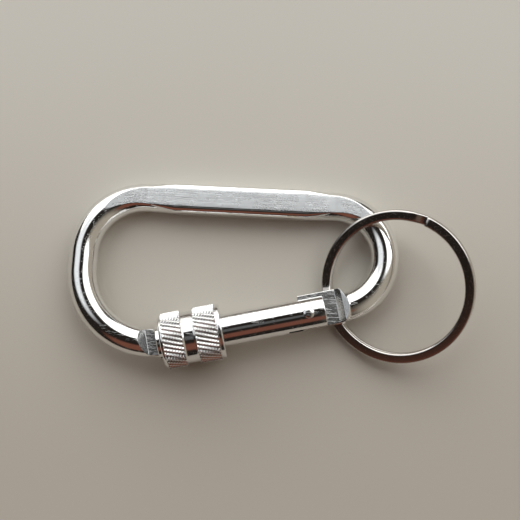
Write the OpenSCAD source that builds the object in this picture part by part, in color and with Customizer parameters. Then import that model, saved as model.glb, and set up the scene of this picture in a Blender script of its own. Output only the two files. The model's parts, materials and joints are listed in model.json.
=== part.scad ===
// Keyring carabiner: a bent rod frame with a flattened spine, a sprung gate
// with a locking sleeve, and a two-turn split ring threaded on the bend.
// Millimetres. The table is z = 0, +X runs along the spine toward the ring,
// +Y from the gate toward the spine, and +Z up. The clip lies as it rests:
// on the spine's edge and on the sleeve.

/* [Frame] */
// distance from the hinge pin's axis to the spine's centre line
spine_y = 23.5; // [20:0.5:30]
// distance from the hinge pin's axis to the outer face of the left end
left_reach = 51.4; // [44:0.5:62]
// rod diameter
rod_d = 6; // [5:0.1:7.2]
// distance from the hinge pin's axis to where the bend behind it begins
hinge_back = 7.62; // [6.5:0.02:9]
// straight part of the left end, between its two bends
left_straight = 3.2; // [1:0.2:6]
// centre-line radius of the bend that carries the nose
nose_bend_r = 15.2; // [13:0.2:17]
// angle between the gate and the spine
gate_angle = 13.8; // [10:0.2:18]
// width of the flattened spine
spine_w = 6.4; // [6:0.1:7.6]
// thickness of the flattened spine
spine_t = 4.75; // [3.8:0.05:5.4]

/* [Gate] */
// how much thicker the gate is than the rod
gate_over = 0.8; // [0.6:0.05:1.2]
// how far the gate's nose end stands past the start of the nose bend
nose_lead = 1.75; // [1:0.05:2.5]
// thickness of the hinge tongue and of the nose tongue
tongue_t = 2.4; // [1.8:0.1:2.8]
// hinge pin diameter
pin_d = 2.2; // [1.6:0.1:2.6]
// how far the gate opens, in degrees
gate_open = 34; // [20:1:35]

/* [Sleeve] */
// outside diameter over the knurled bands
sleeve_d = 11.8; // [10:0.2:13]
// sleeve length
sleeve_l = 13; // [10.5:0.1:15.6]
// how far the sleeve runs along the gate to lock it
sleeve_travel = 2.8; // [2:0.1:3]

/* [Key ring] */
// outside diameter of the split ring
ring_od = 32.4; // [28:0.2:39]
// wire size across the ring
wire_w = 2.1; // [1.6:0.05:2.4]
// wire size along the ring's axis, for one turn
wire_t = 1.1; // [0.8:0.05:1.3]

/* [Show] */
// sub-part to draw

/* [Hidden] */
eps = 0.01;
$fn = 96;

rod_r = rod_d / 2;
gate_d = rod_d + gate_over;
gate_r = gate_d / 2;
sleeve_r = sleeve_d / 2;
pin_r = pin_d / 2;
run_gap = 0.05;                     // radial clearance of pin in tongue
sleeve_gap = 0.1;                   // radial clearance of sleeve on gate
slot_gap = 0.12;                    // tongue to slot wall, each side

// plan of the frame, seen along the hinge pin: origin on the pin, X along the spine
gate_c = cos(gate_angle);
gate_s = sin(gate_angle);
arc_end = -(90 - gate_angle);       // where both lower bends meet the gate's line
bend_r = (spine_y - hinge_back * gate_s) / (1 + gate_c);   // meets the spine and the gate's line
bend_x = hinge_back * gate_c - bend_r * gate_s;
bend_y = spine_y - bend_r;
left_x = rod_r - left_reach;        // centre line of the left end
nose_x = left_x + nose_bend_r;
nose_y = (nose_bend_r + nose_x * gate_s) / gate_c;
nose_start = -nose_x * gate_c - nose_y * gate_s;   // distance along the gate's line
corner_y = nose_y + left_straight;
corner_r = spine_y - corner_y;
corner_x = left_x + corner_r;
gate_reach = nose_start + nose_lead;               // from the pin to the gate's nose end

// flattened spine
spine_round = 1.3;                  // corner radius of its section
taper_l = 4;                        // from flattened to round, at each end
bar_reach = spine_w * 0.6;          // clear of the bar's corners
rod_inner = rod_r - 0.05;           // the bar's ends stay inside the rod
fade_l = 8.5;                       // length of the pointed tips of the flats

// hinge end of the frame
tongue_end = 1.7;                   // past the pin, toward the nose
tongue_back = 6.2;                  // behind the pin, where the tongue begins
cut_back = tongue_back + 2.5;       // behind the pin, where the rod is full again
rod_back = max(cut_back + 0.6, hinge_back);        // straight rod, from the bend to the tongue
tongue_hi = gate_r + 0.8;           // proud of the gate on the inner side
tongue_lo = gate_r - 0.15;

// nose end of the frame
notch_depth = 0.7;                  // notch in the gate's end
nose_gap = 0.4;
nose_tip = gate_reach - notch_depth + nose_gap;    // from the pin
nose_flat = gate_reach + 2.1;       // the milled flats end here
nose_full = nose_flat + 1.6;        // the rod is full again here
nose_side = 2.2;                    // inner edge of the tongue inside the notch

// gate
tube_back = 3.5;                    // behind the pin
slot_end = 4.7;
bore_r = 1.6;
bore_end = 15.5;
notch_wall = nose_side + 0.08;

// spring and its follower, in the gate's bore
follower_r = 1.45;
follower_tip_r = 1.2;
follower_start = tongue_end + 0.05;
follower_l = 5.2;
flange_l = 0.8;
spring_wire = 0.35;
spring_r = bore_r - 0.1 - spring_wire / 2;
spring_turns = 6;
spring_from = follower_start + follower_l + spring_wire / 2 + 0.02;
spring_to = bore_end - spring_wire / 2 - 0.02;

// sleeve, from its nose end to its hinge end
sleeve_nose = gate_reach - 0.9;
sleeve_bore_r = gate_r + sleeve_gap;
band_1 = 0.377;                     // shares of the sleeve's length
groove_1 = 0.566;
band_2 = 0.925;
groove_deep = 0.45;
rim_deep = 0.35;
sleeve_chamfer = 0.6;

// how the clip lies: turned about the spine's line until the frame's lower
// side and the sleeve both touch the table
edge_y = spine_w / 2 - spine_round;
edge_z = spine_t / 2 - spine_round;
sleeve_low_y = (sleeve_nose - band_2 * sleeve_l) * gate_s;
low_steps = [0 : 2 : 90];

// depth below the pin, square to the table, of the frame at a lean of t:
// round the corner bend, and along the spine's edge
function flat_cut(x) = min(rod_r, spine_t / 2 + x / fade_l * (rod_r - spine_t / 2));
function bend_depth(cut, t) =
  cut >= rod_r * cos(t) ? rod_r : sqrt(rod_r * rod_r - cut * cut) * sin(t) + cut * cos(t);
function corner_depth(a, t) =
  (corner_y + corner_r * cos(a)) * sin(t) + bend_depth(flat_cut(corner_r * sin(a)), t);
function edge_depth(t) =
  spine_round + (spine_y + edge_y) * sin(t) + edge_z * cos(t);
function frame_depth(t) = max(edge_depth(t), max([for (a = low_steps) corner_depth(a, t)]));
function sleeve_depth(t) =
  sleeve_r * sqrt(1 - gate_s * gate_s * sin(t) * sin(t)) - sleeve_low_y * sin(t);
function settle(t, n) = n == 0 ? t :
  settle(t - (frame_depth(t) - sleeve_depth(t)) / (spine_y + sleeve_low_y) * 180 / PI, n - 1);
lean = settle(6, 6);
pin_z = frame_depth(lean);

// key ring: it lies over the bend at one point and under the hinge at another
ring_mid_r = (ring_od - wire_w) / 2;
wire_round = 0.42;
over_angle = 49.6;                  // round the bend from +X
over_in = 2;                        // inside the bend's centre line
ring_over = [
  bend_x + (bend_r - over_in) * cos(over_angle),
  bend_y + (bend_r - over_in) * sin(over_angle),
  rod_r + wire_t - 0.07
];
under_back = 5.5;                   // behind the pin, under the hinge tongue
ring_under = [under_back * gate_c, under_back * gate_s, 0.18 - rod_r - wire_t];
ring_fall = 11.9;                   // turn about the line through the two points
ring_chord = ring_over - ring_under;
ring_line = ring_chord / norm(ring_chord);
ring_level = cross(ring_line, [0, 0, 1]) / norm(cross(ring_line, [0, 0, 1]));
ring_up = cross(ring_level, ring_line);
ring_out = ring_level * cos(ring_fall) + ring_up * sin(ring_fall);
half_chord = norm(ring_chord) / 2;
ring_c = (ring_over + ring_under) / 2
  + ring_out * sqrt(ring_mid_r * ring_mid_r - half_chord * half_chord);
ring_n = cross(ring_out, ring_line);
ring_lean = acos(ring_n[2]);
ring_dir = atan2(ring_n[1], ring_n[0]);
cut_angle = 67;                     // where the upper turn begins, seen in plan
jog_angle = 12;
turn_gap = 0.03;                    // between the two turns

// middle of the whole, so that the origin is under its centre
ring_reach = ring_c[0] + (ring_od / 2 - wire_round) * sqrt(1 - ring_n[0] * ring_n[0])
  + (wire_t - wire_round) * abs(ring_n[0]) + wire_round;
gate_side = sleeve_nose * gate_s + (sleeve_r - sleeve_chamfer) * gate_c;
mid_x = (ring_reach - left_reach) / 2;
mid_y = ((spine_y + spine_w / 2) * cos(lean) - gate_side) / 2 - 0.2;

module place() {
  translate([-mid_x, -mid_y, pin_z])
    rotate([-lean, 0, 0])
      children();
}

// along the gate: X runs from the hinge pin to the nose, Y toward the spine
module along_gate() {
  rotate([0, 0, 180 + gate_angle])
    mirror([0, 1, 0])
      children();
}

module rod_arc(x, y, r, from, turn) {
  translate([x, y, 0])
    rotate([0, 0, from])
      rotate_extrude(angle = turn, $fn = 96)
        translate([r, 0])
          circle(r = rod_r, $fn = 64);
}

// rounded rectangle
module rounded(w, t, r) {
  square([w - 2 * r, t], center = true);
  square([w, t - 2 * r], center = true);
  for (x = [-1, 1], y = [-1, 1])
    translate([x * (w / 2 - r), y * (t / 2 - r)])
      circle(r = r);
}

// bar along the spine; its ends flare in from the round rod
module spine() {
  over = 0.3;
  long = bend_x - corner_x + 2 * over;
  rise = bar_reach - rod_inner;
  flare_r = (taper_l * taper_l + rise * rise) / (2 * rise);
  translate([corner_x - over, spine_y, 0])
    rotate([90, 0, 90])
      intersection() {
        linear_extrude(long)
          rounded(spine_w, spine_t, spine_round, $fn = 48);
        rotate_extrude()
          difference() {
            square([bar_reach, long]);
            for (end = [0, long])
              translate([rod_inner + flare_r, end])
                circle(r = flare_r, $fn = 192);
          }
      }
}

// wedges above and below that leave the flats' pointed tips on the bends
module fade_wedges() {
  tall = rod_r + 1;
  for (side = [-1, 1])
    translate([0, spine_y + rod_d, 0])
      rotate([90, 0, 0])
        linear_extrude(2 * rod_d)
          polygon([
            [corner_x - fade_l, side * rod_r],
            [corner_x, side * spine_t / 2],
            [bend_x, side * spine_t / 2],
            [bend_x + fade_l, side * rod_r],
            [bend_x + fade_l, side * tall],
            [corner_x - fade_l, side * tall]
          ]);
}

// what is milled off each face to leave a tongue: full cut up to x1, none from x2
module tongue_wedges(x0, x1, x2, wide) {
  tall = rod_r + 1;
  for (side = [-1, 1])
    translate([0, wide, 0])
      rotate([90, 0, 0])
        linear_extrude(2 * wide)
          polygon([
            [x0, side * tongue_t / 2],
            [x1, side * tongue_t / 2],
            [x2, side * rod_r],
            [x2, side * tall],
            [x0, side * tall]
          ]);
}

// left end and the bend that carries the nose, milled to a tongue
module nose_end() {
  difference() {
    union() {
      translate([left_x, nose_y, 0])
        rotate([-90, 0, 0])
          cylinder(r = rod_r, h = corner_y - nose_y, $fn = 64);
      rod_arc(nose_x, nose_y, nose_bend_r, 180, 180 + arc_end);
    }
    along_gate() {
      tongue_wedges(nose_tip - 6, nose_flat, nose_full, 3 * rod_r);
      // curved end face, clear of the sleeve as the gate swings
      translate([0, 0, -2 * rod_r])
        cylinder(r = nose_tip, h = 4 * rod_r, $fn = 192);
      // room for the gate's inner wall, then for the sleeve's bore
      translate([nose_tip - 1, nose_side, -2 * rod_r])
        cube([gate_reach + 0.3 - nose_tip + 1, 2 * rod_r, 4 * rod_r]);
      translate([nose_tip - 1, rod_r + 0.1, -2 * rod_r])
        cube([nose_flat + 0.4 - nose_tip + 1, 2 * rod_r, 4 * rod_r]);
    }
  }
}

// bend at the hinge end, milled to the flat tongue that carries the pin
module hinge_end() {
  difference() {
    union() {
      rod_arc(bend_x, bend_y, bend_r, arc_end, 90 - arc_end);
      along_gate() {
        translate([-rod_back, 0, 0])
          rotate([0, 90, 0])
            cylinder(r = rod_r, h = rod_back + 0.4 - tongue_back, $fn = 64);
        translate([-tongue_back - 0.8, -tongue_lo, -tongue_t / 2])
          cube([tongue_back + 0.8 + tongue_end, tongue_lo + tongue_hi, tongue_t]);
      }
    }
    along_gate() {
      mirror([1, 0, 0])
        tongue_wedges(-tongue_end - 1, tongue_back, cut_back, 2 * rod_r);
      translate([0, 0, -rod_r])
        cylinder(r = pin_r + run_gap, h = 2 * rod_r, $fn = 64);
    }
  }
}

module frame() {
  color("silver")
    place() {
      difference() {
        union() {
          hinge_end();
          rod_arc(corner_x, corner_y, corner_r, 90, 90);
        }
        fade_wedges();
      }
      nose_end();
      spine();
    }
}

module gate_tube() {
  slot = tongue_t / 2 + slot_gap;
  color("lightgray")
    place()
      along_gate()
        difference() {
          translate([-tube_back, 0, 0])
            rotate([0, 90, 0])
              cylinder(r = gate_r, h = tube_back + gate_reach);
          translate([-tube_back - 1, -gate_d, -slot])
            cube([tube_back + 1 + slot_end, 2 * gate_d, 2 * slot]);
          translate([slot_end - 1, 0, 0])
            rotate([0, 90, 0])
              cylinder(r = bore_r, h = bore_end - slot_end + 1, $fn = 48);
          translate([0, 0, -gate_d])
            cylinder(r = pin_r, h = 2 * gate_d, $fn = 64);
          translate([gate_reach - notch_depth, notch_wall - 3 * gate_r, -slot])
            cube([notch_depth + 1, 3 * gate_r, 2 * slot]);
        }
}

module hinge_pin() {
  half = gate_r - 0.12;
  bevel = 0.3;
  color("gray")
    place()
      rotate_extrude($fn = 64)
        polygon([
          [0, -half],
          [pin_r - bevel, -half],
          [pin_r, bevel - half],
          [pin_r, half - bevel],
          [pin_r - bevel, half],
          [0, half]
        ]);
}

// coil in the gate's bore, as one closed skin swept along a helix
module gate_spring() {
  sides = 10;
  steps = spring_turns * 20;
  rise = (spring_to - spring_from) / steps;
  r = spring_wire / 2;
  rings = [for (i = [0 : steps], k = [0 : sides - 1])
    let (a = i * 18, b = k * 360 / sides, q = spring_r + r * cos(b))
    [spring_from + i * rise + r * sin(b), q * cos(a), q * sin(a)]];
  skin = [for (i = [0 : steps - 1], k = [0 : sides - 1])
    let (a = i * sides, k2 = (k + 1) % sides)
    [a + k, a + k2, a + sides + k2, a + sides + k]];
  first = [for (k = [0 : sides - 1]) sides - 1 - k];
  last = [for (k = [0 : sides - 1]) steps * sides + k];
  color("dimgray")
    place()
      along_gate()
        polyhedron(points = rings, faces = concat(skin, [first, last]), convexity = 8);
}

// flat-nosed plunger that the tongue's end pushes as the gate opens
module spring_follower() {
  color("goldenrod")
    place()
      along_gate()
        translate([follower_start, 0, 0])
          rotate([0, 90, 0])
            rotate_extrude($fn = 48)
              polygon([
                [0, 0],
                [follower_tip_r - 0.2, 0],
                [follower_tip_r, 0.2],
                [follower_tip_r, follower_l - flange_l],
                [follower_r, follower_l - flange_l],
                [follower_r, follower_l],
                [0, follower_l]
              ]);
}

module locking_sleeve() {
  l = sleeve_l;
  c = sleeve_chamfer;
  groove_r = sleeve_r - groove_deep;
  rim_r = sleeve_r - rim_deep;
  color("gainsboro")
    place()
      along_gate()
        translate([sleeve_nose, 0, 0])
          rotate([0, -90, 0])
            rotate_extrude($fn = 96)
              polygon([
                [sleeve_bore_r, 0],
                [sleeve_r - c, 0],
                [sleeve_r, c],
                [sleeve_r, band_1 * l],
                [groove_r, band_1 * l + groove_deep],
                [groove_r, groove_1 * l - groove_deep],
                [sleeve_r, groove_1 * l],
                [sleeve_r, band_2 * l],
                [rim_r, band_2 * l],
                [rim_r, l - 0.3],
                [rim_r - 0.3, l],
                [sleeve_bore_r, l]
              ]);
}

module wire_section() {
  rounded(wire_w, wire_t - turn_gap, wire_round, $fn = 48);
}

// one turn of wire, open by the jog
module ring_turn(z) {
  rotate([0, 0, cut_angle])
    mirror([0, 1, 0])
      rotate_extrude(angle = 360 - jog_angle, $fn = 144)
        translate([ring_mid_r, z])
          wire_section();
}

// the wire climbs from the lower turn to the upper one across the jog
module ring_jog() {
  over = 1.2;
  slim = 0.08;
  sweep = jog_angle + 2 * over;
  climb = atan(wire_t / (ring_mid_r * jog_angle * PI / 180));
  rotate([0, 0, cut_angle + jog_angle / 2])
    rotate([climb, 0, 0])
      rotate([0, 0, -sweep / 2])
        rotate_extrude(angle = sweep, $fn = 144)
          translate([ring_mid_r, 0])
            rounded(wire_w - slim, wire_t - slim, wire_round - slim / 2, $fn = 48);
}

module key_ring() {
  color("darkgray")
    place()
      translate(ring_c)
        rotate([0, 0, ring_dir])
          rotate([0, ring_lean, 0])
            rotate([0, 0, -ring_dir]) {
              ring_turn(wire_t / 2);
              ring_turn(-wire_t / 2);
              ring_jog();
            }
}

frame();
gate_tube();
hinge_pin();
gate_spring();
spring_follower();
locking_sleeve();
key_ring();
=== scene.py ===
import json
import math

import bmesh
import bpy
from mathutils import Matrix, Vector


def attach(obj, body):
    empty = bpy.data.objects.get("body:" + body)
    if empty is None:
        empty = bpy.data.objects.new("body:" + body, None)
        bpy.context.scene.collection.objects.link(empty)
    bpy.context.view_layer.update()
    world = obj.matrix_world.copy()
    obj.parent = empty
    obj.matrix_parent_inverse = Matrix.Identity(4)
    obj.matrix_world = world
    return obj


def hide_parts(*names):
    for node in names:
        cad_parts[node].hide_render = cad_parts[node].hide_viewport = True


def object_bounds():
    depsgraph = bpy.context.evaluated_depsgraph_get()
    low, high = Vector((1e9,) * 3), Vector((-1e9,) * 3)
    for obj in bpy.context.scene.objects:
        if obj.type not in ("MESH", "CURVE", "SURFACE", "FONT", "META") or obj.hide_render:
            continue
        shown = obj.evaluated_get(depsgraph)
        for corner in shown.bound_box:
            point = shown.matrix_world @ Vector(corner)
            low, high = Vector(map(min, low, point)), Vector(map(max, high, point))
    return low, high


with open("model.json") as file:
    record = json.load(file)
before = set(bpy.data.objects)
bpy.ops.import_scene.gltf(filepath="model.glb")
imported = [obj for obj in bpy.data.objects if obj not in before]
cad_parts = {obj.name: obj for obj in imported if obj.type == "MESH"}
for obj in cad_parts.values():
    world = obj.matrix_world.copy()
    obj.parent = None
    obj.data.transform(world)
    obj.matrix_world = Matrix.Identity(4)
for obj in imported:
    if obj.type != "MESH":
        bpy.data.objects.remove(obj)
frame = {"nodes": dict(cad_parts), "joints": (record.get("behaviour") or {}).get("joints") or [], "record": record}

cad_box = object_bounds()

# ---------------------------------------------------------------- sizes, in millimetres
MM = 0.001
SPINE_Y = 23.5
LEFT_REACH = 51.4
ROD_R = 3.0
HINGE_BACK = 7.62
LEFT_STRAIGHT = 3.2
NOSE_BEND_R = 15.2
SPINE_W = 6.4
SPINE_T = 4.75
SPINE_ROUND = 1.3
FADE_L = 8.5
TAPER_L = 6.0

GATE_R = 3.4
NOSE_LEAD = 1.75
TUBE_BACK = 3.5
SLOT_END = 4.7
SLOT_HALF = 1.32
NOTCH_DEEP = 0.7
NOTCH_WALL = 2.28

TONGUE_T = 2.4
TONGUE_END = 1.7
TONGUE_BACK = 6.2
CUT_BACK = 8.7
TONGUE_IN = 4.05
TONGUE_OUT = 3.25
NOSE_GAP = 0.4

SLEEVE_BACK = 0.9
SLEEVE_L = 13.0
SLEEVE_R = 5.9
SLEEVE_BORE_R = 3.5

RING_OD = 32.4
WIRE_W = 2.1
WIRE_T = 1.1
WIRE_ROUND = 0.42
CUT_ANGLE = 67.0
JOG_ANGLE = 12.0

# points round each quarter of the frame's section
SIDE = 18
CORNER = 7
FLAT = 4


# ---------------------------------------------------------------- places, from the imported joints
joints = {j["name"]: j for j in frame["joints"]}
pin = Vector(joints["gate_swing"]["pos_m"])
up = -Vector(joints["gate_swing"]["axis"]).normalized()
spine_dir = Vector((1, 0, 0))
inside = up.cross(spine_dir).normalized()
gate_dir = Vector(joints["sleeve_travel"]["axis"]).normalized()
gate_in = gate_dir.cross(up).normalized()


def axes(x, y, z, origin):
    """Millimetres along three axes to metres in the shared frame."""
    m = Matrix((x, y, z)).transposed().to_4x4()
    return Matrix.Translation(origin) @ m @ Matrix.Scale(MM, 4)


PLAN = axes(spine_dir, inside, up, pin)
GATE = axes(gate_dir, gate_in, up, pin)
GATE_TO_PLAN = PLAN.inverted() @ GATE

GATE_C = -gate_dir.dot(spine_dir)
GATE_S = -gate_dir.dot(inside)
GATE_ANGLE = math.degrees(math.atan2(GATE_S, GATE_C))
BEND_R = (SPINE_Y - HINGE_BACK * GATE_S) / (1 + GATE_C)
BEND_X = HINGE_BACK * GATE_C - BEND_R * GATE_S
BEND_Y = SPINE_Y - BEND_R
LEFT_X = ROD_R - LEFT_REACH
NOSE_X = LEFT_X + NOSE_BEND_R
NOSE_Y = (NOSE_BEND_R + NOSE_X * GATE_S) / GATE_C
NOSE_START = -NOSE_X * GATE_C - NOSE_Y * GATE_S
CORNER_Y = NOSE_Y + LEFT_STRAIGHT
CORNER_R = SPINE_Y - CORNER_Y
CORNER_X = LEFT_X + CORNER_R
GATE_REACH = NOSE_START + NOSE_LEAD
NOTCH_FLOOR = GATE_REACH - NOTCH_DEEP
NOSE_TIP = NOTCH_FLOOR + NOSE_GAP
NOSE_FLAT = GATE_REACH + 2.1
NOSE_FULL = NOSE_FLAT + 1.6
SLEEVE_NOSE = GATE_REACH - SLEEVE_BACK


def smooth(t):
    t = min(max(t, 0.0), 1.0)
    return t * t * (3 - 2 * t)


def mix(a, b, t):
    return a + (b - a) * t


def steps(a, b, n):
    return [mix(a, b, i / n) for i in range(n + 1)]


# ---------------------------------------------------------------- section of the rod
def cut_quarter(side, top, edge):
    """Round rod with its top cut to the height top(n); edge is the softened corner's radius."""
    n = 0.7 * ROD_R * side
    for _ in range(10):
        h = min(top(n), ROD_R)
        n = side * math.sqrt(max(ROD_R * ROD_R - h * h, 0.0))
    corner = math.atan2(h, abs(n))
    turn = math.pi / 2 - corner
    back = min(edge * math.tan(turn / 2), 0.45 * abs(n))
    last = corner - back / ROD_R
    points = [(side * ROD_R * math.cos(last * i / SIDE), ROD_R * math.sin(last * i / SIDE))
              for i in range(SIDE + 1)]
    flat_n = side * (abs(n) - back)
    flat_z = min(top(flat_n), ROD_R)
    start = points[-1]
    for i in range(1, CORNER + 1):
        t = i / CORNER
        a, b, c = (1 - t) ** 2, 2 * t * (1 - t), t * t
        points.append((a * start[0] + b * n + c * flat_n, a * start[1] + b * h + c * flat_z))
    for i in range(1, FLAT + 1):
        m = flat_n * (1 - i / FLAT)
        points.append((m, min(top(m), math.sqrt(max(ROD_R * ROD_R - m * m, 0.0)))))
    return points


def bar_quarter(side, wide, height, radius):
    """Flat bar with rounded corners, point for point like cut_quarter."""
    points = [(side * wide, (height - radius) * i / SIDE) for i in range(SIDE + 1)]
    for i in range(1, CORNER + 1):
        a = math.pi / 2 * i / CORNER
        points.append((side * (wide - radius + radius * math.cos(a)),
                       height - radius + radius * math.sin(a)))
    for i in range(1, FLAT + 1):
        points.append((side * (wide - radius) * (1 - i / FLAT), height))
    return points


def section(top, bar=None, share=0.0, edge=0.16):
    """Closed section: n toward the inside of the clip, z up.

    bar is (inner width, outer width, height, radius).
    """
    quarters = []
    for side, wide in ((1, 0), (-1, 1)):
        points = cut_quarter(side, top, edge)
        if share > 0:
            flat = bar_quarter(side, bar[wide], bar[2], bar[3])
            pairs = zip(points, flat)
            points = [(mix(p[0], q[0], share), mix(p[1], q[1], share)) for p, q in pairs]
        quarters.append(points)
    upper = quarters[0] + quarters[1][::-1][1:]
    lower = [(n, -z) for n, z in upper[::-1][1:-1]]
    return upper + lower


def flat_slots():
    """Numbers of the section's edges that lie on the upper and on the lower flat."""
    first = SIDE + CORNER
    last = first + 2 * FLAT
    around = 4 * (SIDE + 1 + CORNER + FLAT) - 4
    upper = set(range(first, last))
    return upper | {around - 1 - i for i in upper}


# ---------------------------------------------------------------- mesh helpers
def loft(bm, rings, caps=True, slots=None):
    """Skin through rings of the same count. slots(ring number, edge number) gives a face's material."""
    rows = [[bm.verts.new(p) for p in ring] for ring in rings]
    for k in range(len(rows) - 1):
        a, b = rows[k], rows[k + 1]
        for i in range(len(a)):
            j = (i + 1) % len(a)
            face = bm.faces.new((a[i], a[j], b[j], b[i]))
            if slots:
                face.material_index = slots(k, i)
    if caps:
        bm.faces.new(rows[0][::-1])
        bm.faces.new(rows[-1])
    return rows


def finish_mesh(name, bm, matrix, body, node, materials, sharp=35, bevel=0.0, weld=1e-4):
    """Closes up a mesh made in millimetres and sets it on its body in place of its node."""
    bmesh.ops.remove_doubles(bm, verts=bm.verts, dist=weld)
    bmesh.ops.dissolve_degenerate(bm, edges=bm.edges, dist=1e-5)
    bmesh.ops.recalc_face_normals(bm, faces=bm.faces)
    mesh = bpy.data.meshes.new(name)
    bm.to_mesh(mesh)
    bm.free()
    mesh.transform(matrix)
    if matrix.determinant() < 0:
        mesh.flip_normals()
    for m in materials:
        mesh.materials.append(m)
    mesh.shade_smooth()
    mesh.set_sharp_from_angle(angle=math.radians(sharp))
    piece = bpy.data.objects.new(name, mesh)
    bpy.context.scene.collection.objects.link(piece)
    if bevel:
        soft = piece.modifiers.new("soft_edges", "BEVEL")
        soft.width = bevel * MM
        soft.segments = 2
        soft.limit_method = "ANGLE"
        soft.angle_limit = math.radians(sharp)
    even = piece.modifiers.new("even_shading", "WEIGHTED_NORMAL")
    even.mode = "FACE_AREA"
    even.keep_sharp = True
    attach(piece, body)
    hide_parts(node)
    return piece


# ---------------------------------------------------------------- shader groups
def new_group(name, inputs, outputs):
    """Empty shader group with float or colour sockets: (name, kind, value)."""
    tree = bpy.data.node_groups.new(name, "ShaderNodeTree")
    for label, kind, value in inputs:
        socket = tree.interface.new_socket(label, in_out="INPUT", socket_type=kind)
        socket.default_value = value
    for label, kind in outputs:
        tree.interface.new_socket(label, in_out="OUTPUT", socket_type=kind)
    enter = tree.nodes.new("NodeGroupInput")
    leave = tree.nodes.new("NodeGroupOutput")
    return tree, enter, leave


def add_math(tree, what, a, b=None):
    """Math node; a and b are sockets or numbers."""
    node = tree.nodes.new("ShaderNodeMath")
    node.operation = what
    for i, v in enumerate((a, b)):
        if v is None:
            continue
        if isinstance(v, (int, float)):
            node.inputs[i].default_value = v
        else:
            tree.links.new(v, node.inputs[i])
    return node.outputs[0]


def add_noise(tree, vector, scale, detail=3.0, rough=0.55):
    node = tree.nodes.new("ShaderNodeTexNoise")
    node.inputs["Detail"].default_value = detail
    node.inputs["Roughness"].default_value = rough
    tree.links.new(vector, node.inputs["Vector"])
    if isinstance(scale, (int, float)):
        node.inputs["Scale"].default_value = scale
    else:
        tree.links.new(scale, node.inputs["Scale"])
    return node.outputs[0]


def add_range(tree, value, a, b, c, d):
    node = tree.nodes.new("ShaderNodeMapRange")
    node.interpolation_type = "SMOOTHSTEP"
    tree.links.new(value, node.inputs["Value"])
    for name, v in (("From Min", a), ("From Max", b), ("To Min", c), ("To Max", d)):
        if isinstance(v, (int, float)):
            node.inputs[name].default_value = v
        else:
            tree.links.new(v, node.inputs[name])
    return node.outputs[0]


def place_texture(tree, scale=(1, 1, 1), turn=(0, 0, 0)):
    """Object coordinates, turned and stretched."""
    where = tree.nodes.new("ShaderNodeTexCoord")
    mapping = tree.nodes.new("ShaderNodeMapping")
    mapping.inputs["Rotation"].default_value = turn
    mapping.inputs["Scale"].default_value = scale
    tree.links.new(where.outputs["Object"], mapping.inputs["Vector"])
    return mapping.outputs[0]


def make_scratch_group():
    """Hairline scratches in several directions, and where they lie."""
    tree, enter, leave = new_group(
        "hairline_scratches",
        [("Density", "NodeSocketFloat", 0.5), ("Depth", "NodeSocketFloat", 1.0)],
        [("Height", "NodeSocketFloat"), ("Mask", "NodeSocketFloat")])
    total = None
    for turn, long_way in (((0, 0, 0.35), (260, 9000, 9000)), ((0, 0, -0.9), (300, 8000, 8000)),
                           ((0.6, 0, 1.45), (340, 10000, 10000))):
        vector = place_texture(tree, long_way, turn)
        fine = add_noise(tree, vector, 1.0, 2.0, 0.4)
        edge = add_math(tree, "MULTIPLY_ADD", enter.outputs["Density"], -0.10)
        edge.node.inputs[2].default_value = 0.74
        above = add_math(tree, "SUBTRACT", fine, edge)
        line = add_range(tree, above, 0.0, 0.05, 0.0, 1.0)
        total = line if total is None else add_math(tree, "MAXIMUM", total, line)
    tree.links.new(total, leave.inputs["Mask"])
    sunk = add_math(tree, "MULTIPLY", enter.outputs["Depth"], -1.0)
    tree.links.new(add_math(tree, "MULTIPLY", total, sunk), leave.inputs["Height"])
    return tree


def make_wear_group():
    """Handling marks: soft smudges that change the gloss, and small dull specks."""
    tree, enter, leave = new_group(
        "handling_marks",
        [("Smudge", "NodeSocketFloat", 0.05), ("Specks", "NodeSocketFloat", 0.5)],
        [("Gloss loss", "NodeSocketFloat"), ("Shade", "NodeSocketFloat"),
         ("Height", "NodeSocketFloat")])
    wide = add_noise(tree, place_texture(tree), 170.0, 4.0, 0.6)
    soft = add_range(tree, wide, 0.42, 0.72, 0.0, 1.0)
    small = add_noise(tree, place_texture(tree), 2600.0, 2.0, 0.5)
    speck = add_range(tree, small, 0.70, 0.76, 0.0, 1.0)
    speck = add_math(tree, "MULTIPLY", speck, enter.outputs["Specks"])
    loss = add_math(tree, "MULTIPLY", soft, enter.outputs["Smudge"])
    loss = add_math(tree, "ADD", loss, add_math(tree, "MULTIPLY", speck, 0.18))
    tree.links.new(loss, leave.inputs["Gloss loss"])
    shade = add_math(tree, "ADD", add_math(tree, "MULTIPLY", soft, 0.25), speck)
    tree.links.new(shade, leave.inputs["Shade"])
    grain = add_noise(tree, place_texture(tree), 900.0, 5.0, 0.6)
    height = add_math(tree, "SUBTRACT", grain, add_math(tree, "MULTIPLY", speck, 0.6))
    tree.links.new(height, leave.inputs["Height"])
    return tree


def make_brush_group():
    """Fine lines along the world's X axis, as left by a belt on a flat face."""
    tree, enter, leave = new_group(
        "brushed_lines",
        [("Coarse", "NodeSocketFloat", 1.0)],
        [("Height", "NodeSocketFloat"), ("Shade", "NodeSocketFloat")])
    fine = add_noise(tree, place_texture(tree, (120, 14000, 14000)), enter.outputs["Coarse"], 3.0, 0.6)
    broad = add_noise(tree, place_texture(tree, (60, 2600, 2600)), enter.outputs["Coarse"], 2.0, 0.5)
    fine_part = add_math(tree, "MULTIPLY", fine, 0.65)
    broad_part = add_math(tree, "MULTIPLY", broad, 0.35)
    both = add_math(tree, "ADD", fine_part, broad_part)
    tree.links.new(both, leave.inputs["Height"])
    tree.links.new(both, leave.inputs["Shade"])
    return tree


SCRATCHES = make_scratch_group()
MARKS = make_wear_group()
BRUSHING = make_brush_group()


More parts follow.
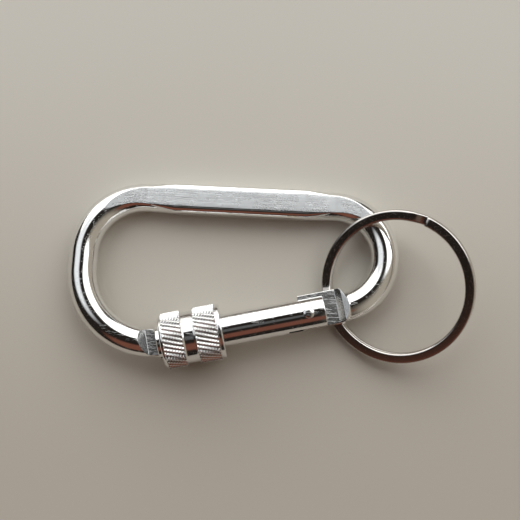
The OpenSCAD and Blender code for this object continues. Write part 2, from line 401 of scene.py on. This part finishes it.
def group_node(tree, group, **values):
    node = tree.nodes.new("ShaderNodeGroup")
    node.node_tree = group
    for label, value in values.items():
        node.inputs[label].default_value = value
    return node


def mix_colour(tree, factor, a, b):
    node = tree.nodes.new("ShaderNodeMix")
    node.data_type = "RGBA"
    tree.links.new(factor, node.inputs[0])
    node.inputs[6].default_value = (*a, 1)
    node.inputs[7].default_value = (*b, 1)
    return node.outputs[2]


def bump(tree, height, strength, distance, normal=None):
    node = tree.nodes.new("ShaderNodeBump")
    node.inputs["Strength"].default_value = strength
    node.inputs["Distance"].default_value = distance
    tree.links.new(height, node.inputs["Height"])
    if normal is not None:
        tree.links.new(normal, node.inputs["Normal"])
    return node.outputs[0]


def metal(name, colour, dull, rough, smudge=0.05, specks=0.5, density=0.5, depth=0.25,
          grain=0.05, brushed=0.0):
    """Bare or plated metal with scratches, handling marks and, if brushed, long fine lines."""
    material = bpy.data.materials.new(name)
    material.use_nodes = True
    tree = material.node_tree
    shader = tree.nodes["Principled BSDF"]
    shader.inputs["Metallic"].default_value = 1.0
    scratch = group_node(tree, SCRATCHES, Density=density, Depth=1.0)
    marks = group_node(tree, MARKS, Smudge=smudge, Specks=specks)
    shade = add_math(tree, "MULTIPLY_ADD", scratch.outputs["Mask"], 0.35)
    tree.links.new(marks.outputs["Shade"], shade.node.inputs[2])
    gloss = add_math(tree, "ADD", marks.outputs["Gloss loss"], rough)
    gloss = add_math(tree, "ADD", gloss, add_math(tree, "MULTIPLY", scratch.outputs["Mask"], 0.08))
    normal = bump(tree, marks.outputs["Height"], grain, 0.00004)
    normal = bump(tree, scratch.outputs["Height"], depth, 0.00002, normal)
    if brushed:
        lines = group_node(tree, BRUSHING, Coarse=1.0)
        normal = bump(tree, lines.outputs["Height"], brushed, 0.00003, normal)
        shade = add_math(tree, "ADD", shade, add_math(tree, "MULTIPLY", lines.outputs["Shade"], 0.4))
        gloss = add_math(tree, "ADD", gloss, add_math(tree, "MULTIPLY", lines.outputs["Shade"], 0.12))
    tree.links.new(mix_colour(tree, shade, colour, dull), shader.inputs["Base Color"])
    tree.links.new(gloss, shader.inputs["Roughness"])
    tree.links.new(normal, shader.inputs["Normal"])
    return material


polished = metal("polished_aluminium", (0.90, 0.90, 0.89), (0.70, 0.69, 0.67), 0.075)
satin = metal("satin_spine_flat", (0.84, 0.86, 0.88), (0.58, 0.60, 0.62), 0.20,
              brushed=0.55, density=0.7)
milled = metal("milled_facet", (0.66, 0.67, 0.67), (0.42, 0.43, 0.43), 0.20,
               grain=0.5, density=0.9)
gate_metal = metal("gate_aluminium", (0.90, 0.90, 0.90), (0.70, 0.69, 0.67), 0.06, density=0.4)
sleeve_metal = metal("sleeve_aluminium", (0.90, 0.90, 0.90), (0.66, 0.66, 0.66), 0.11, grain=0.15)
knurl_metal = metal("knurled_aluminium", (0.92, 0.92, 0.92), (0.60, 0.60, 0.60), 0.13,
                    grain=0.25, density=0.2)
pin_metal = metal("pin_steel", (0.80, 0.80, 0.80), (0.50, 0.50, 0.50), 0.12, grain=0.3)
ring_metal = metal("ring_nickel", (0.66, 0.63, 0.60), (0.44, 0.41, 0.38), 0.09, smudge=0.06)
spring_metal = metal("spring_steel", (0.55, 0.56, 0.58), (0.30, 0.30, 0.31), 0.22)
brass = metal("follower_brass", (0.78, 0.58, 0.27), (0.45, 0.32, 0.14), 0.2, grain=0.2)


# ---------------------------------------------------------------- frame
def arc_place(cx, cy, radius, degrees):
    a = math.radians(degrees)
    return lambda n, z: Vector((cx + (radius - n) * math.cos(a), cy + (radius - n) * math.sin(a), z))


def gate_place(x):
    return lambda n, z: GATE_TO_PLAN @ Vector((x, n, z))


def bend_place(start, radius, way, x, square):
    """On a bend that leaves the gate's line at start.

    square is 1 for a section square to the gate and 0 for one square to the rod.
    """
    mid = math.asin(min(max((way * x - start) / radius, -1.0), 1.0))

    def place(n, z):
        r = radius - n
        own = math.asin(min(max((way * x - start) / r, -1.0), 1.0))
        a = mix(mid, own, square)
        return GATE_TO_PLAN @ Vector((way * (start + r * math.sin(a)), radius - r * math.cos(a), z))
    return place


def fade_height(x):
    """Height of the spine's flat over the clip's middle plane, at x along the spine."""
    out = max(CORNER_X - x, x - BEND_X, 0.0)
    return SPINE_T / 2 + out / FADE_L * (ROD_R - SPINE_T / 2)


def nose_height(x):
    return TONGUE_T / 2 + max(x - NOSE_FLAT, 0.0) / (NOSE_FULL - NOSE_FLAT) * (ROD_R - TONGUE_T / 2)


def hinge_height(x):
    """Steep just behind the tongue, then a flatter facet that runs out on the rod."""
    back = -x - TONGUE_BACK
    steep, rise = 1.15, 1.05
    if back < steep:
        return TONGUE_T / 2 + max(back, 0.0) / steep * rise
    rest = (back - steep) / (CUT_BACK - TONGUE_BACK - steep)
    return TONGUE_T / 2 + rise + rest * (ROD_R - TONGUE_T / 2 - rise)


def full(n):
    return ROD_R + 1


def build_frame():
    """The whole bent rod as one skin, from the nose round the spine to the hinge tongue."""
    rings = []
    kinds = []

    def add(place, ring, kind=0, limit=None):
        if limit is not None:
            ring = [(min(n, limit), z) for n, z in ring]
        rings.append([place(n, z) for n, z in ring])
        kinds.append(kind)

    # nose, square to the gate, then turning square to the rod
    flat = section(lambda n: TONGUE_T / 2)
    small = [(n * 0.94, z * 0.88) for n, z in flat]
    add(gate_place(NOSE_TIP), small, 2, 2.1)
    add(gate_place(NOSE_TIP + 0.12), flat, 2, 2.2)
    add(gate_place(GATE_REACH + 0.3), flat, 2, 2.2)
    add(gate_place(GATE_REACH + 0.31), flat, 2, 3.1)
    tip = [NOSE_FLAT - 1, NOSE_FLAT - 0.4, NOSE_FLAT - 0.12, NOSE_FLAT, NOSE_FLAT + 0.12]
    tip += steps(NOSE_FLAT + 0.4, NOSE_FULL - 0.2, 5) + [NOSE_FULL - 0.05, NOSE_FULL + 0.03]
    for x in tip:
        h = nose_height(x)
        limit = 3.1 + max(x - NOSE_FLAT - 0.5, 0) * 2
        place = bend_place(NOSE_START, NOSE_BEND_R, 1, x, 1)
        ring = section(lambda n: h, edge=0.12)
        kept = []
        for n, z in ring:
            p = place(n, z)
            over = (GATE_TO_PLAN.inverted() @ p).y - limit
            kept.append((n - max(over, 0), z))
        add(place, kept, 2)
    for i in range(1, 9):
        x = mix(NOSE_FULL + 0.03, NOSE_FULL + 3.2, i / 8)
        add(bend_place(NOSE_START, NOSE_BEND_R, 1, x, 1 - smooth(i / 8)), section(full))
    begun = math.degrees(math.asin((NOSE_FULL + 3.2 - NOSE_START) / NOSE_BEND_R))
    lower_end = 270 + GATE_ANGLE
    for a in steps(lower_end - begun - 2.2, 180, 36):
        add(arc_place(NOSE_X, NOSE_Y, NOSE_BEND_R, a), section(full))
    # left end
    for y in steps(NOSE_Y, CORNER_Y, 3)[1:-1]:
        add(lambda n, z, y=y: Vector((LEFT_X + n, y, z)), section(full))
    # corner, with the pointed tip of the flat
    for a in steps(180, 90, 44):
        place = arc_place(CORNER_X, CORNER_Y, CORNER_R, a)
        top = (lambda n, place=place: fade_height(place(n, 0).x)) if a < 140 else full
        add(place, section(top, edge=0.3), 1)
    # spine
    run = [0.25, 0.6, 1.0, 1.5, 2.0, 2.6, TAPER_L]
    stops = [CORNER_X + s for s in run]
    stops += steps(CORNER_X + TAPER_L, BEND_X - TAPER_L, 14)[1:-1]
    stops += [BEND_X - s for s in run[::-1]]
    bar = (SPINE_W / 2, SPINE_W / 2, SPINE_T / 2, SPINE_ROUND)
    for x in stops:
        share = smooth(min(x - CORNER_X, BEND_X - x) / TAPER_L)
        place = (lambda n, z, x=x: Vector((x, SPINE_Y - n, z)))
        add(place, section(lambda n: SPINE_T / 2, bar, share, 0.3), 1)
    # bend, with the other tip
    for a in steps(90, GATE_ANGLE - 90 + 12, 72):
        place = arc_place(BEND_X, BEND_Y, BEND_R, a)
        top = (lambda n, place=place: fade_height(place(n, 0).x)) if a > 30 else full
        add(place, section(top, edge=0.3), 1 if a > 30 else 0)
    # hinge end: the rod turns square to the gate and is milled to the tongue
    mark = HINGE_BACK + BEND_R * math.sin(math.radians(12))
    for i in range(1, 6):
        x = -mix(mark, CUT_BACK + 0.25, i / 5)
        add(bend_place(HINGE_BACK, BEND_R, -1, x, smooth(i / 5)), section(full))
    wedge = [CUT_BACK + 0.03, CUT_BACK - 0.05, CUT_BACK - 0.2]
    wedge += steps(CUT_BACK - 0.5, TONGUE_BACK + 1.25, 3)
    wedge += [TONGUE_BACK + 1.15, TONGUE_BACK + 1.05, TONGUE_BACK + 0.8, TONGUE_BACK + 0.4]
    wedge += [TONGUE_BACK + 0.15, TONGUE_BACK + 0.05, TONGUE_BACK - 0.05, TONGUE_BACK - 0.2]
    for back in wedge:
        h = hinge_height(-back)
        share = smooth((CUT_BACK + 0.1 - back) / 1.9)
        bar = (TONGUE_IN, TONGUE_OUT, min(h, ROD_R), 0.22)
        place = bend_place(HINGE_BACK, BEND_R, -1, -back, 1) if back > HINGE_BACK else gate_place(-back)
        add(place, section(lambda n: h, bar, share, 0.14), 2)
    bar = (TONGUE_IN, TONGUE_OUT, TONGUE_T / 2, 0.16)
    plate = section(lambda n: TONGUE_T / 2, bar, 1.0)
    for x in steps(-TONGUE_BACK + 0.5, TONGUE_END - 0.2, 8) + [TONGUE_END - 0.06]:
        add(gate_place(x), plate, 2)
    add(gate_place(TONGUE_END), [(n * 0.975, z * 0.9) for n, z in plate], 2)

    flats = flat_slots()

    def slots(k, i):
        kind = min(kinds[k], kinds[k + 1]) if 0 in (kinds[k], kinds[k + 1]) else kinds[k + 1]
        return kind if i in flats else 0

    bm = bmesh.new()
    loft(bm, rings, slots=slots)
    return finish_mesh("frame_body", bm, PLAN, "frame", "frame",
                       [polished, satin, milled], sharp=50, weld=1e-3)


build_frame()


# ---------------------------------------------------------------- gate
def build_gate():
    """Round gate, slotted for the hinge tongue and notched for the nose. Angles start on the inner side."""
    slot = math.asin(SLOT_HALF / GATE_R)
    n_gap, n_arc = 6, 44
    gap = steps(-slot, slot, n_gap)
    arc = steps(slot, math.pi - slot, n_arc)
    near = gap[:-1] + arc[:-1]
    angles = near + [a + math.pi for a in near]
    round_end = 0.18
    stations = []
    for i in range(5):
        a = math.pi / 2 * i / 4
        stations.append((-TUBE_BACK + round_end * (1 - math.sin(a)),
                         GATE_R - round_end * 0.6 * (1 - math.cos(a))))
    stations = stations[::-1]
    stations += [(x, GATE_R) for x in (-1.5, 0.5, 2.6, SLOT_END)]
    stations += [(x, GATE_R) for x in steps(SLOT_END, NOTCH_FLOOR, 10)[1:]]
    stations += [(GATE_REACH - 0.15, GATE_R), (GATE_REACH, GATE_R - 0.15)]
    bm = bmesh.new()
    rows = []
    for x, r in stations:
        row = []
        for a in angles:
            y, z = r * math.cos(a), r * math.sin(a)
            row.append(bm.verts.new((x, y, z)))
        rows.append(row)
    for k, row in enumerate(rows):
        # the slot's edges stay on its walls where the end is rounded
        if stations[k][0] < SLOT_END:
            for i in (0, n_gap, n_gap + n_arc, 2 * n_gap + n_arc):
                row[i].co.z = math.copysign(SLOT_HALF, row[i].co.z)
    count = len(angles)
    right = set(range(0, n_gap))
    left = set(range(n_gap + n_arc, 2 * n_gap + n_arc))
    for k in range(len(rows) - 1):
        x = (stations[k][0] + stations[k + 1][0]) / 2
        for i in range(count):
            if x < SLOT_END and (i in right or i in left):
                continue
            if x > NOTCH_FLOOR and i in left:
                continue
            j = (i + 1) % count
            bm.faces.new((rows[k][i], rows[k][j], rows[k + 1][j], rows[k + 1][i]))
    e0, e1, e2, e3 = 0, n_gap, n_gap + n_arc, 2 * n_gap + n_arc
    cut = next(k for k, s in enumerate(stations) if s[0] >= SLOT_END - 1e-6)
    for k in range(cut):
        a, b = rows[k], rows[k + 1]
        bm.faces.new((a[e1], b[e1], b[e2], a[e2]))
        bm.faces.new((a[e3], b[e3], b[e0], a[e0]))
    wall = rows[cut]
    bm.faces.new([wall[i] for i in range(e0, e1 + 1)] + [wall[i] for i in range(e2, e3 + 1)])
    bm.faces.new([rows[0][i] for i in range(e1, e2 + 1)])
    bm.faces.new([rows[0][i] for i in range(e3, count)] + [rows[0][0]])
    floor_k = next(k for k, s in enumerate(stations) if s[0] >= NOTCH_FLOOR - 1e-6)
    inner = [[bm.verts.new((stations[k][0], NOTCH_WALL, s * SLOT_HALF)) for s in (1, -1)]
             for k in range(floor_k, len(rows))]
    for m in range(len(inner) - 1):
        a, b = rows[floor_k + m], rows[floor_k + m + 1]
        bm.faces.new((a[e2], b[e2], inner[m + 1][0], inner[m][0]))
        bm.faces.new((inner[m][0], inner[m + 1][0], inner[m + 1][1], inner[m][1]))
        bm.faces.new((inner[m][1], inner[m + 1][1], b[e3], a[e3]))
    bm.faces.new([rows[floor_k][i] for i in range(e2, e3 + 1)] + [inner[0][1], inner[0][0]])
    last = rows[-1]
    ring = [last[i] for i in range(e3, count)] + [last[i] for i in range(0, e2 + 1)]
    bm.faces.new(ring + [inner[-1][0], inner[-1][1]])
    return finish_mesh("gate_body", bm, GATE, "gate", "gate_tube", [gate_metal],
                       sharp=35, bevel=0.05)


build_gate()


def turned(profile, around, sweep_axis="Z"):
    """Rings for a shape turned on Z or X; profile is (along, radius)."""
    rings = []
    for along, r in profile:
        ring = []
        for i in range(around):
            a = 2 * math.pi * i / around
            u, v = r * math.cos(a), r * math.sin(a)
            ring.append(Vector((u, v, along)) if sweep_axis == "Z" else Vector((along, u, v)))
        rings.append(ring)
    return rings


def build_pin():
    """Pin with both ends staked over into low domes."""
    top = GATE_R - 0.16
    profile = []
    for i in range(9):
        a = math.pi / 2 * i / 8
        profile.append((top + 0.36 * math.sin(a), max(1.26 * math.cos(a), 0.02)))
    head = [(top - 0.35, 1.1), (top - 0.12, 1.14)] + profile
    whole = [(-z, r) for z, r in head[::-1]] + head
    bm = bmesh.new()
    loft(bm, turned(whole, 48))
    return finish_mesh("pin_body", bm, PLAN, "gate", "hinge_pin", [pin_metal], sharp=50)


build_pin()


# ---------------------------------------------------------------- sleeve
RIB_ANGLE = math.radians(22)
CUT_LINE_ANGLE = math.radians(38)
RIBS = 37
CUTS = 58
RIB_DEEP = 0.26
CUT_DEEP = 0.24
# along the sleeve from its nose end
KNURL_BANDS = ((0.72, 4.72), (7.5, 11.95))
BAND_SKIRT = 0.16
SKIRT_R = 5.5


def knurl(bm, start, end):
    """Band of cells between deep ribs one way and finer cuts the other way."""
    girth = 2 * math.pi * SLEEVE_R
    a = math.tan(RIB_ANGLE)
    b = math.tan(CUT_LINE_ANGLE)
    rib = girth / RIBS
    cut = girth / CUTS
    flat = bmesh.new()
    across = ((0.0, RIB_DEEP), (0.34, 0.0), (0.66, 0.0), (1.0, RIB_DEEP))
    length = (0.0, 0.34, 0.66, 1.0)

    def corner(i, j):
        x = (j * cut - i * rib) / (a + b)
        return x, i * rib + a * x

    low = int(math.floor((a + b) * start / cut)) - 2
    high = int(math.ceil((a + b) * end / cut)) + 2
    for i in range(RIBS):
        first = int(math.floor(i * rib / cut)) + low
        last = int(math.ceil((i + 1) * rib / cut)) + high
        for j in range(first, last):
            c00, c10 = corner(i, j), corner(i + 1, j)
            c01, c11 = corner(i, j + 1), corner(i + 1, j + 1)
            reach = [c[0] for c in (c00, c10, c01, c11)]
            if max(reach) < start or min(reach) > end:
                continue
            grid = []
            for s, deep in across:
                row = []
                for t in length:
                    x = mix(mix(c00[0], c10[0], s), mix(c01[0], c11[0], s), t)
                    y = mix(mix(c00[1], c10[1], s), mix(c01[1], c11[1], s), t)
                    drop = deep if t not in (0.0, 1.0) else max(deep, CUT_DEEP)
                    row.append(flat.verts.new((x, y, -drop)))
                grid.append(row)
            for p in range(3):
                for q in range(3):
                    flat.faces.new((grid[p][q], grid[p + 1][q], grid[p + 1][q + 1], grid[p][q + 1]))
    # trim the band square at both ends
    for at, way in ((start, 1), (end, -1)):
        everything = list(flat.verts) + list(flat.edges) + list(flat.faces)
        bmesh.ops.bisect_plane(flat, geom=everything, dist=1e-6, plane_co=(at, 0, 0),
                               plane_no=(-way, 0, 0), clear_outer=True)
    flat.verts.index_update()
    made = {}
    for v in flat.verts:
        turn = v.co.y / SLEEVE_R
        r = SLEEVE_R + v.co.z
        made[v.index] = bm.verts.new((SLEEVE_NOSE - v.co.x, r * math.cos(turn), r * math.sin(turn)))
    for f in flat.faces:
        face = bm.faces.new([made[v.index] for v in f.verts])
        face.material_index = 1
    flat.free()


def build_sleeve():
    """Two knurled bands on a smooth body with a rim at one end and a flange at the other."""
    bm = bmesh.new()
    for start, end in KNURL_BANDS:
        knurl(bm, start, end)
    bmesh.ops.remove_doubles(bm, verts=bm.verts, dist=2e-3)
    rims = [e for e in bm.edges if e.is_boundary]
    moved = bmesh.ops.extrude_edge_only(bm, edges=rims)["geom"]
    for v in [g for g in moved if isinstance(g, bmesh.types.BMVert)]:
        r = math.hypot(v.co.y, v.co.z)
        s = SLEEVE_NOSE - v.co.x
        for start, end in KNURL_BANDS:
            if abs(s - start) < 0.02:
                v.co.x += BAND_SKIRT
            if abs(s - end) < 0.02:
                v.co.x -= BAND_SKIRT
        v.co.y *= SKIRT_R / r
        v.co.z *= SKIRT_R / r
    rim = [(0.0, SLEEVE_BORE_R), (0.0, 5.12), (0.04, 5.24), (0.14, 5.36), (0.3, 5.46),
           (0.46, 5.53), (0.6, 5.56)]
    groove = [(0.8, 5.57), (4.7, 5.57), (4.86, 5.56), (4.96, 5.5), (5.04, 5.46), (5.2, 5.45),
              (7.0, 5.45), (7.16, 5.46), (7.24, 5.5), (7.34, 5.56), (7.5, 5.57), (11.95, 5.57)]
    flange = [(12.1, 5.58), (12.16, 5.66), (12.3, 5.7), (12.72, 5.7), (12.86, 5.66),
              (12.96, 5.56), (SLEEVE_L, 5.42)]
    bore = [(SLEEVE_L, SLEEVE_BORE_R + 0.2), (SLEEVE_L - 0.2, SLEEVE_BORE_R), (0.2, SLEEVE_BORE_R)]
    profile = rim + groove + flange + bore
    rings = turned([(SLEEVE_NOSE - s, r) for s, r in profile], 128, "X")
    rings.append(rings[0])
    loft(bm, rings, caps=False)
    return finish_mesh("sleeve_body", bm, GATE, "sleeve", "locking_sleeve",
                       [sleeve_metal, knurl_metal], sharp=28, weld=1e-4)


build_sleeve()


# ---------------------------------------------------------------- split ring
# the ring's hole is a mount, so its middle and its axis come from the record
hole = next(m for m in frame["record"]["mounts"] if m["name"] == "ring_hole")
ring_middle = Vector(hole["pos_m"])
ring_axis = Vector(hole["axis"]).normalized()


def wire_section():
    """Flattened wire: (out from the ring's axis, along the axis)."""
    points = []
    w, t, r = WIRE_W / 2, (WIRE_T - 0.03) / 2, WIRE_ROUND
    corners = ((w - r, t - r, 0), (r - w, t - r, 90), (r - w, r - t, 180), (w - r, r - t, 270))
    for cx, cz, a0 in corners:
        for i in range(7):
            a = math.radians(a0 + 15 * i)
            points.append((cx + r * math.cos(a), cz + r * math.sin(a)))
    return points


def build_ring():
    """One flattened wire wound twice round, stepping down across the jog."""
    tilt = math.acos(ring_axis.dot(up))
    n_plan = Vector((ring_axis.dot(spine_dir), ring_axis.dot(inside), ring_axis.dot(up)))
    away = math.atan2(n_plan.y, n_plan.x)
    turn = Matrix.Rotation(away, 4, "Z") @ Matrix.Rotation(tilt, 4, "Y") @ Matrix.Rotation(-away, 4, "Z")
    spot = PLAN.inverted() @ ring_middle
    place = Matrix.Translation(spot) @ turn
    mid_r = (RING_OD - WIRE_W) / 2
    wire = wire_section()
    rings = []
    total = 360 + 360 - JOG_ANGLE
    turns = [i * 2.5 for i in range(int(total / 2.5) + 1)] + [total]
    for s in turns:
        a = math.radians(CUT_ANGLE - s)
        z = WIRE_T / 2 - WIRE_T * smooth((s - (360 - JOG_ANGLE)) / JOG_ANGLE)
        end = min(s, total - s)
        shrink = 1.0 if end > 0 else 0.94
        ring = []
        for x, h in wire:
            r = mid_r + x * shrink
            ring.append(place @ Vector((r * math.cos(a), r * math.sin(a), z + h * shrink)))
        rings.append(ring)
        if s == 0:
            a = math.radians(CUT_ANGLE - 0.2)
            rings.append([place @ Vector(((mid_r + x) * math.cos(a), (mid_r + x) * math.sin(a), z + h))
                          for x, h in wire])
    bm = bmesh.new()
    loft(bm, rings)
    return finish_mesh("split_ring", bm, PLAN, "ring", "key_ring", [ring_metal], sharp=50)


build_ring()

# ---------------------------------------------------------------- inner parts keep their own shapes
for name, material in (("gate_spring", spring_metal), ("spring_follower", brass)):
    node = frame["nodes"][name]
    node.data.materials.clear()
    node.data.materials.append(material)


# ---------------------------------------------------------------- floor, light and camera
def build_floor():
    material = bpy.data.materials.new("pale_table")
    material.use_nodes = True
    tree = material.node_tree
    shader = tree.nodes["Principled BSDF"]
    shader.inputs["Roughness"].default_value = 0.5
    parts = tree.nodes.new("ShaderNodeSeparateXYZ")
    tree.links.new(place_texture(tree), parts.inputs[0])
    cloud = add_noise(tree, place_texture(tree), 9.0, 3.0, 0.5)
    # painted shade: the table is painted darker toward -Y and lighter toward +Y, standing in for the light falling
    # off across it; the cloud noise adds random tone
    across = add_range(tree, parts.outputs["Y"], -0.05, 0.07, 0.0, 0.85)
    tone = add_math(tree, "ADD", across, add_math(tree, "MULTIPLY", cloud, 0.15))
    table_colour_with_painted_shade = mix_colour(tree, tone, (0.55, 0.50, 0.43), (0.80, 0.775, 0.71))
    tree.links.new(table_colour_with_painted_shade, shader.inputs["Base Color"])
    fine = add_noise(tree, place_texture(tree), 900.0, 3.0, 0.5)
    tree.links.new(bump(tree, fine, 0.03, 0.0002), shader.inputs["Normal"])
    bm = bmesh.new()
    bmesh.ops.create_grid(bm, x_segments=8, y_segments=8, size=1.5)
    mesh = bpy.data.meshes.new("table_top")
    bm.to_mesh(mesh)
    bm.free()
    mesh.materials.append(material)
    top = bpy.data.objects.new("table_top", mesh)
    top.location.z = cad_box[0].z
    bpy.context.scene.collection.objects.link(top)


def sky_direction(azimuth, zenith):
    a, z = math.radians(azimuth), math.radians(zenith)
    return (math.sin(z) * math.cos(a), math.sin(z) * math.sin(a), math.cos(z))


# soft light round the object: azimuth from +X, angle from straight up, inner and outer size, colour
SOFTBOXES = [
    (0, 80, 38, 70, (0.36, 0.32, 0.26)),
    (108, 64, 34, 42, (2.1, 2.1, 2.06)),
    (50, 46, 20, 28, (1.9, 1.9, 1.88)),
    (158, 42, 12, 26, (0.9, 0.92, 0.94)),
    (250, 52, 12, 28, (0.17, 0.065, 0.042)),
    (285, 45, 8, 20, (0.16, 0.06, 0.04)),
    (270, 4, 5, 11, (0.10, 0.10, 0.10)),
]


def build_light():
    world = bpy.data.worlds.new("studio")
    bpy.context.scene.world = world
    world.use_nodes = True
    tree = world.node_tree
    back = tree.nodes["Background"]
    where = tree.nodes.new("ShaderNodeTexCoord")
    colour = None
    for azimuth, zenith, inner, outer, tone in SOFTBOXES:
        dot = tree.nodes.new("ShaderNodeVectorMath")
        dot.operation = "DOT_PRODUCT"
        dot.inputs[1].default_value = sky_direction(azimuth, zenith)
        tree.links.new(where.outputs["Generated"], dot.inputs[0])
        near = add_range(tree, dot.outputs["Value"], math.cos(math.radians(outer)),
                         math.cos(math.radians(inner)), 0.0, 1.0)
        blend = tree.nodes.new("ShaderNodeMix")
        blend.data_type = "RGBA"
        tree.links.new(near, blend.inputs[0])
        if colour is None:
            blend.inputs[6].default_value = (0.016, 0.013, 0.011, 1)
        else:
            tree.links.new(colour, blend.inputs[6])
        blend.inputs[7].default_value = (*tone, 1)
        colour = blend.outputs[2]
    seen = tree.nodes.new("ShaderNodeLightPath")
    plain = tree.nodes.new("ShaderNodeMix")
    plain.data_type = "RGBA"
    tree.links.new(seen.outputs["Is Camera Ray"], plain.inputs[0])
    tree.links.new(colour, plain.inputs[6])
    plain.inputs[7].default_value = (0.60, 0.57, 0.52, 1)
    tree.links.new(plain.outputs[2], back.inputs["Color"])


def build_camera():
    """Nearly overhead, leaning a little toward the gate's side."""
    turn = (Matrix.Rotation(math.radians(-0.631), 3, "Y") @ Matrix.Rotation(math.radians(-10.707), 3, "X")
            @ Matrix.Rotation(math.radians(-2.878), 3, "Z"))
    eye_plan = turn.transposed() @ Vector((7.405, 2.686, 200.0)) + Vector((-18, 8, 0))
    to_world = Matrix((spine_dir, inside, up)).transposed()
    data = bpy.data.cameras.new("view")
    data.sensor_width = 36
    data.lens = 65.11
    data.clip_start = 0.005
    data.clip_end = 20
    camera = bpy.data.objects.new("view", data)
    camera.matrix_world = Matrix.Translation(PLAN @ eye_plan) @ (to_world @ turn.transposed()).to_4x4()
    bpy.context.scene.collection.objects.link(camera)
    bpy.context.scene.camera = camera


build_floor()
build_light()
build_camera()
bpy.context.scene.view_settings.view_transform = "Standard"
